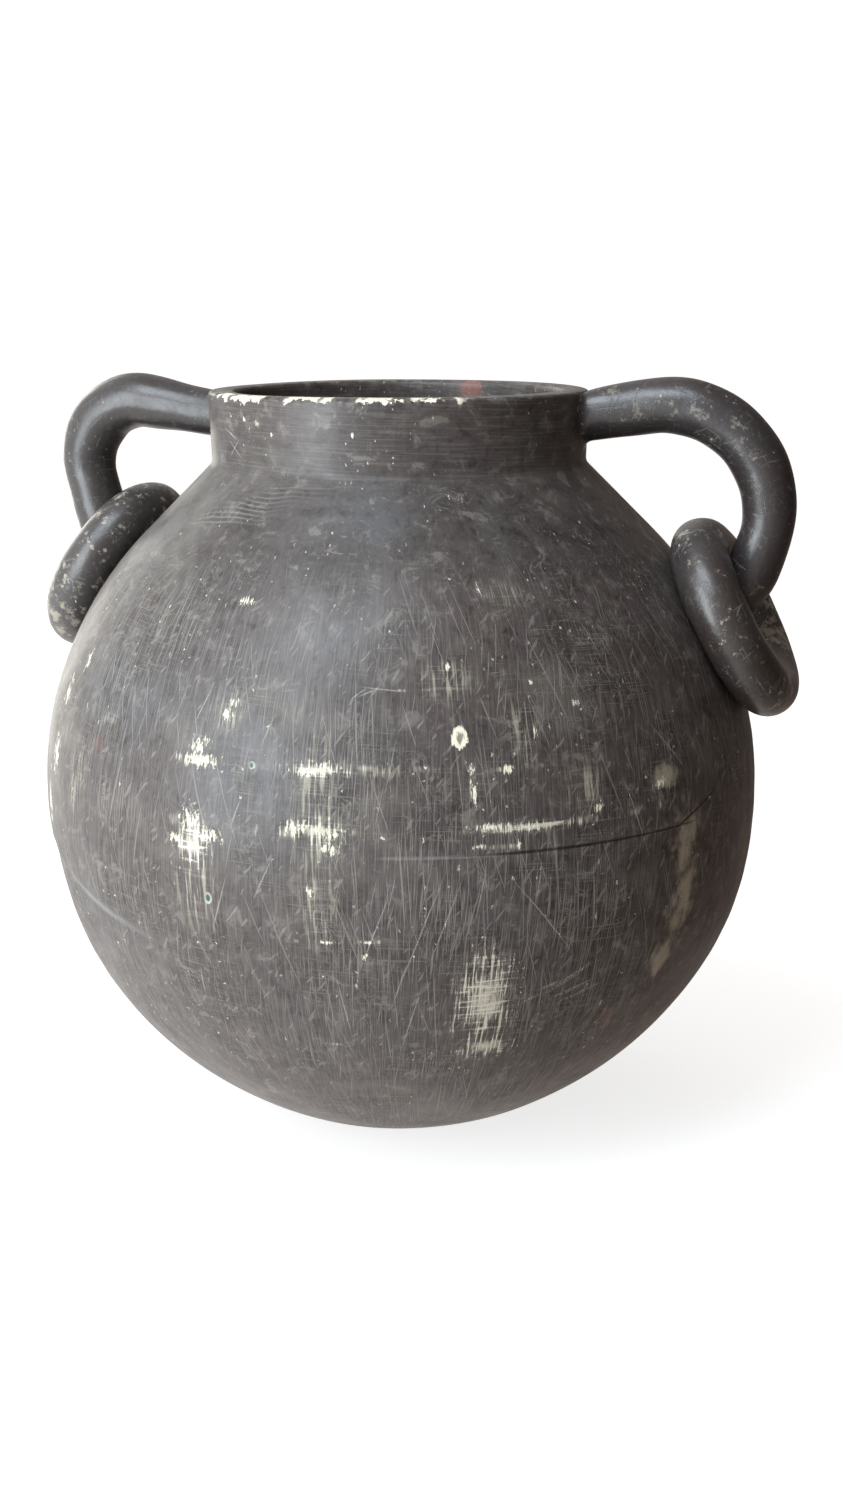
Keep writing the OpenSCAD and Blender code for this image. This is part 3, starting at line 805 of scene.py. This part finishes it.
    # Rim: worn through along the front outer edge, and rubbed paler all along its top
    x, y, z = m.parts(m.place)
    radial = m.math("POWER", m.plus(m.times(x, x), m.times(y, y)), 0.5)
    rough_rim = m.noise(m.place, 190.0, 4.0, 0.7)
    rim_reach = m.plus(m.minus(z, (RIM_Z - 1.0) * MM), m.times(m.minus(rough_rim, 0.52), 0.012))
    rim_reach = m.plus(rim_reach, m.fit(u, 0.0, -0.060, -0.0002, 0.0010))
    rim_out = m.fit(radial, (RIM_R - 5.2) * MM, (RIM_R - 4.0) * MM)
    gaps = m.fit(m.stretched((34, 0), 2.0, 0.6, 0.4), 0.43, 0.49)
    chipped = m.times(m.times(m.fit(rim_reach, -0.0004, 0.0003), rim_out),
                      m.times(m.between(u, WORN_RIM), gaps))
    rub = m.plus(m.minus(z, (RIM_Z - 0.6) * MM), m.times(m.minus(rough_rim, 0.56), 0.006))
    rub = m.fit(rub, 0.0, 0.0006)

    ivory, pinkish = (0.80, 0.76, 0.60), (0.74, 0.58, 0.50)
    slip = m.mix(m.fit(m.noise(m.place, 60.0, 2.0), 0.55, 0.75), ivory, pinkish)
    brown, blue = (0.066, 0.052, 0.049), (0.062, 0.056, 0.057)
    base = m.layers(m.mix(m.fit(large, 0.35, 0.65), brown, blue), (
        # painted bluish sheen
        (m.times(painted_sheen, 0.75), (0.072, 0.076, 0.086)),
        (m.fit(cloud, 0.36, 0.66, 0.0, 0.7), (0.030, 0.023, 0.021)),
        (m.fit(mottle, 0.49, 0.34, 0.0, 0.80), (0.022, 0.017, 0.015)),
        (m.fit(mottle, 0.54, 0.68, 0.0, 0.60), (0.190, 0.178, 0.158)),
        (m.fit(m.noise(m.place, 22.0, 3.0, 0.6, 0.8), 0.53, 0.72, 0.0, 0.55), (0.125, 0.115, 0.100)),
        (m.times(thin, 0.85), (0.42, 0.37, 0.28)),
        (m.times(stain, 0.45), (0.145, 0.065, 0.048)),
        (m.times(inner_stain, 0.7), (0.24, 0.075, 0.055)),
        (m.fit(grain, 0.45, 0.75, 0.0, 0.35), (0.105, 0.098, 0.092)),
        (m.times(brushed, 0.34), (0.175, 0.155, 0.146)),
        (m.times(scratch, 0.5), (0.34, 0.315, 0.28)),
        (m.times(rub, 0.35), (0.26, 0.24, 0.20)),
        # painted highlight along the crease
        (m.times(crease_and_highlight, 0.6), (0.24, 0.245, 0.255)),
        (m.times(tooled, 0.36), (0.25, 0.24, 0.225)),
        (m.times(leant, 0.6), (0.38, 0.36, 0.33)),
        (m.times(drawn, 0.55), (0.42, 0.40, 0.36)),
        (m.times(streaked, 0.68), (0.46, 0.43, 0.34)),
        # painted glint over the burnishing marks
        (m.times(glint_hatch, 0.9), (0.64, 0.61, 0.51)),
        (m.times(rings, 0.85), (0.66, 0.62, 0.50)),
        (m.times(dots, 0.85), (0.60, 0.58, 0.50)),
        (m.times(line_pale, 0.5), (0.30, 0.29, 0.28)),
        (m.times(dark, 0.88), (0.014, 0.012, 0.011)),
        (m.fit(pit, 0.25, 0.6, 0.0, 0.8), (0.035, 0.060, 0.055)),
        (m.times(pit_edge, 0.7), (0.45, 0.50, 0.46)),
        (m.most(scuff, chip_ring), (0.78, 0.75, 0.60)),
        (chipped, slip),
    ))

    worn = m.most(scuff, chip_ring, chipped, m.times(rings, 0.8), m.times(dots, 0.8))
    rough = m.plus(m.fit(cloud, 0.3, 0.7, 0.37, 0.48), m.times(scratch, 0.08))
    rough = m.plus(rough, m.times(worn, 0.38), clamp=True)
    height = m.plus(m.times(m.minus(grain, 0.5), 0.16), m.times(m.minus(fine, 0.5), 0.05))
    height = m.minus(m.minus(height, m.times(scratch, 0.16)), m.times(worn, 0.30))
    height = m.minus(height, m.times(m.most(dark, m.fit(pit, 0.0, 0.5)), 0.9))
    return m.finish(base, rough, height)


def rolled_clay(name, brown, blue, wear, seed):
    """Clay of the handles and rings: u runs along it in metres, and v once round it, with the outer side at
    0 and 1. wear is how much of it is worn pale, and seed moves its noise."""
    m = Clay(name)
    moved = m.vec("ADD", m.place, (seed, 0, 0))
    large = m.noise(moved, 21.0, 3.0, 0.55)
    cloud = m.noise(m.vec("ADD", m.place, (0, seed, 0)), 85.0, 4.0, 0.6, 0.5)
    grain = m.noise(m.place, 600.0, 3.0, 0.6)
    lumps = m.noise(m.place, 210.0, 3.0, 0.6)
    outer = m.fit(m.math("ABSOLUTE", m.minus(m.parts(m.lay)[1], 0.5)), 0.34, 0.47)
    # Once round the clay is about 70 mm
    m.lay = m.vec("MULTIPLY", m.lay, (1.0, 0.07, 0.0))
    run = m.streaks((40, 900), 0, 0.63, 0.74, seed)
    across = m.streaks((700, 60), 8, 0.66, 0.75, seed + 2)
    tilt = m.streaks((420, 80), 35, 0.69, 0.76, seed + 5)
    scratch = m.most(m.times(run, 0.6), m.times(across, 0.8), tilt)
    scratch = m.times(scratch, m.fit(cloud, 0.46, 0.64))
    dots = m.most(m.specks(330, 0.12, 0.80), m.specks(120, 0.07, 0.80))
    dots = m.times(dots, m.fit(large, 0.44, 0.60))
    patch = m.plus(m.noise(m.place, 150.0, 5.0, 0.75), m.times(large, 0.5))
    patch = m.fit(patch, 0.90 - 0.06 * wear, 1.0 - 0.06 * wear)
    nicks = m.fit(m.noise(moved, 230.0, 4.0, 0.75), 0.66 - 0.05 * wear, 0.76 - 0.05 * wear)
    patch = m.most(patch, m.times(outer, nicks))
    rust = m.fit(m.noise(m.vec("ADD", m.place, (seed, seed, 0)), 40.0, 3.0, 0.6), 0.66, 0.74)
    base = m.layers(m.mix(m.fit(large, 0.35, 0.65), brown, blue), (
        (m.fit(cloud, 0.34, 0.72, 0.0, 0.6), (0.024, 0.020, 0.019)),
        (m.fit(grain, 0.48, 0.78, 0.0, 0.3), (0.11, 0.10, 0.095)),
        (m.times(scratch, 0.25), (0.30, 0.28, 0.26)),
        (m.times(patch, 0.5 * wear), (0.40, 0.36, 0.29)),
        (m.times(rust, 0.5 * wear), (0.13, 0.060, 0.045)),
        (m.times(dots, min(0.9 * wear, 1.0)), (0.55, 0.52, 0.45)),
    ))
    rough = m.plus(m.fit(cloud, 0.3, 0.7, 0.27, 0.39), m.times(m.most(scratch, patch, dots), 0.22))
    height = m.plus(m.times(m.minus(lumps, 0.5), 0.35), m.times(m.minus(grain, 0.5), 0.12))
    height = m.minus(height, m.times(m.most(scratch, dots), 0.25))
    return m.finish(base, rough, height, 0.7)


# ---- Pieces
pot_clay = burnished_clay()
handle_clay = rolled_clay("handle_clay", (0.030, 0.022, 0.020), (0.032, 0.028, 0.030), 0.6, 3.0)
ring_clay = rolled_clay("ring_clay", (0.038, 0.029, 0.026), (0.052, 0.049, 0.050), 1.4, 8.0)

belly_grid = wall_grid(360)
neck_grid = wall_grid(720)
lower_bands = [(0, MARKS["equator"]), (MARKS["equator_inside"], len(PROFILE) - 1)]
upper_bands = [(MARKS["equator"], MARKS["neck_outside"]), (MARKS["neck_inside"], MARKS["equator_inside"])]
neck_bands = [(MARKS["neck_outside"], MARKS["neck_inside"])]
lower = wall_piece("lower_bowl_clay", belly_grid, lower_bands, False, pot_clay)
upper = wall_piece("upper_shell_clay", belly_grid, upper_bands, True, pot_clay)
neck = wall_piece("neck_clay", neck_grid, neck_bands, True, pot_clay)
right_handle = make_handle("right_handle_clay", RIGHT, 1, 0.4, handle_clay)
left_handle = make_handle("left_handle_clay", LEFT, -1, 2.1, handle_clay)
right_ring = make_ring("right_ring_clay", RIGHT, 1, 0.7, ring_clay)
left_ring = make_ring("left_ring_clay", LEFT, -1, 3.3, ring_clay)

for piece, body, nodes, slot in (
    (lower, "pot", ("lower_bowl",), "burnished_clay"),
    (upper, "pot", ("upper_shell",), "burnished_clay"),
    (neck, "pot", ("neck_collar", "neck_coil"), "burnished_clay"),
    (right_handle, "pot", ("right_handle", "right_root_coil", "right_foot_coil"), "handle_clay"),
    (left_handle, "pot", ("left_handle", "left_root_coil", "left_foot_coil"), "handle_clay"),
    (right_ring, "right_ring", ("right_ring",), "ring_clay"),
    (left_ring, "left_ring", ("left_ring",), "ring_clay"),
):
    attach(piece, body)
    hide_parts(*nodes)

# ---- Floor, light and camera
# The camera stands this many degrees towards the right handle
VIEW = math.radians(15.0)
FLOOR_R, FLOOR_Z, FLOOR_SIDES = 9.0, -0.0002, 64
FLOOR_GREY, FLOOR_GLOW = 0.40, 0.78
# Each light's place and what it is aimed at, as from_camera_frame takes them, its size, watts and colour
LIGHTS = (
    ("window", (-1.10, -0.97, 0.45), (0, 0, 0.14), (0.8, 1.3), 23, (0.86, 0.94, 1.0)),
    ("left_wall", (-0.85, 1.30, 0.42), (0, 0, 0.14), (0.6, 1.3), 7, (1.0, 0.98, 0.88)),
    ("top", (-0.45, -0.65, 1.35), (0, 0, 0.2), (0.7, 0.7), 12, (0.80, 0.91, 1.0)),
)
# The room's light, from the left of the view to its right
ROOM = ((0.0, (1.0, 1.0, 0.98)), (0.30, (0.62, 0.61, 0.60)), (0.5, (0.46, 0.43, 0.41)),
        (0.66, (0.19, 0.155, 0.135)), (1.0, (0.03, 0.022, 0.016)))
# How strong it is from below, where the pale floor sends light up, and from above
FROM_BELOW, FROM_ABOVE = 2.0, 1.3
LENS_MM, SENSOR_MM = 49.06, 36.0
# How far the camera is from the pot's middle line and above the belly's centre, in metres, and its turns
CAMERA_AWAY, CAMERA_UP = 0.8568, 0.2079
PAN, PITCH, ROLL = 0.01015, 0.22612, -0.00462


def from_camera_frame(x, y, z):
    """A point given to the right of, beyond and above the pot's base as the camera sees them."""
    return Vector((x * math.cos(VIEW) - y * math.sin(VIEW), x * math.sin(VIEW) + y * math.cos(VIEW), z))


def make_floor():
    mesh = bpy.data.meshes.new("floor")
    turns = np.linspace(0, 2 * math.pi, FLOOR_SIDES, endpoint=False)
    edge = [(FLOOR_R * math.cos(a), FLOOR_R * math.sin(a), FLOOR_Z) for a in turns]
    mesh.from_pydata(edge, [], [tuple(range(FLOOR_SIDES))])
    paper = bpy.data.materials.new("pale_floor")
    paper.use_nodes = True
    card = paper.node_tree.nodes["Principled BSDF"]
    card.inputs["Base Color"].default_value = (FLOOR_GREY, FLOOR_GREY, FLOOR_GREY, 1)
    card.inputs["Roughness"].default_value = 0.9
    card.inputs["Emission Color"].default_value = (1, 1, 1, 1)
    card.inputs["Emission Strength"].default_value = FLOOR_GLOW
    mesh.materials.append(paper)
    floor = into_scene("floor", mesh)
    floor.visible_glossy = False
    floor.visible_diffuse = False
    floor.visible_shadow = False


def area_light(name, place, aim, size, power, colour):
    data = bpy.data.lights.new(name, "AREA")
    data.shape = "RECTANGLE"
    data.size, data.size_y = size
    data.energy = power
    data.color = colour
    lamp = into_scene(name, data)
    lamp.location = from_camera_frame(*place)
    aim = from_camera_frame(*aim) - lamp.location
    lamp.rotation_euler = aim.to_track_quat("-Z", "Y").to_euler()
    lamp.visible_camera = False


def make_room():
    """The room lights the pot from all round, and looks plain white behind it."""
    world = bpy.data.worlds.new("studio")
    bpy.context.scene.world = world
    world.use_nodes = True
    tree = world.node_tree
    tree.nodes.clear()
    direction = add_node(tree, "TexCoord", {})["Generated"]
    across = {0: direction, 1: from_camera_frame(1, 0, 0)}
    sideways = add_node(tree, "VectorMath", across, operation="DOT_PRODUCT")["Value"]
    half = add_node(tree, "MapRange", {"From Min": -1.0, "From Max": 1.0, "Value": sideways})["Result"]
    ramp = tree.nodes.new("ShaderNodeValToRGB")
    stops = ramp.color_ramp.elements
    for stop, (place, colour) in zip(stops, (ROOM[0], ROOM[-1])):
        stop.position = place
        stop.color = (*colour, 1)
    for place, colour in ROOM[1:-1]:
        stops.new(place).color = (*colour, 1)
    tree.links.new(half, ramp.inputs["Fac"])
    up = add_node(tree, "SeparateXYZ", {0: direction})["Z"]
    bounce = add_node(tree, "MapRange", {"From Min": -0.7, "From Max": 0.1, "To Min": FROM_BELOW,
                                         "To Max": FROM_ABOVE, "Value": up})["Result"]
    dim = add_node(tree, "Background", {"Color": ramp.outputs["Color"], "Strength": bounce})[0]
    white = add_node(tree, "Background", {"Color": (1, 1, 1, 1), "Strength": 1.0})[0]
    seen = add_node(tree, "LightPath", {})["Is Camera Ray"]
    both = add_node(tree, "MixShader", {"Fac": seen, 1: dim, 2: white})[0]
    add_node(tree, "OutputWorld", {"Surface": both})


def make_camera():
    data = bpy.data.cameras.new("camera")
    data.lens = LENS_MM
    data.sensor_width = SENSOR_MM
    data.clip_end = 30
    camera = into_scene("camera", data)
    level = math.cos(PITCH)
    ahead = Vector((math.sin(PAN) * level, math.cos(PAN) * level, -math.sin(PITCH)))
    right = Vector((math.cos(PAN), -math.sin(PAN), 0))
    above = right.cross(ahead)
    rolled_right = right * math.cos(ROLL) + above * math.sin(ROLL)
    rolled_above = above * math.cos(ROLL) - right * math.sin(ROLL)
    spot = from_camera_frame(0, -CAMERA_AWAY, CENTRE_Z * MM + CAMERA_UP)
    columns = [from_camera_frame(*v) for v in (rolled_right, rolled_above, -ahead)] + [spot]
    camera.matrix_world = Matrix([[c[i] for c in columns] for i in range(3)] + [[0, 0, 0, 1]])
    bpy.context.scene.camera = camera


make_floor()
for light in LIGHTS:
    area_light(*light)
make_room()
make_camera()
bpy.context.scene.view_settings.view_transform = "Standard"
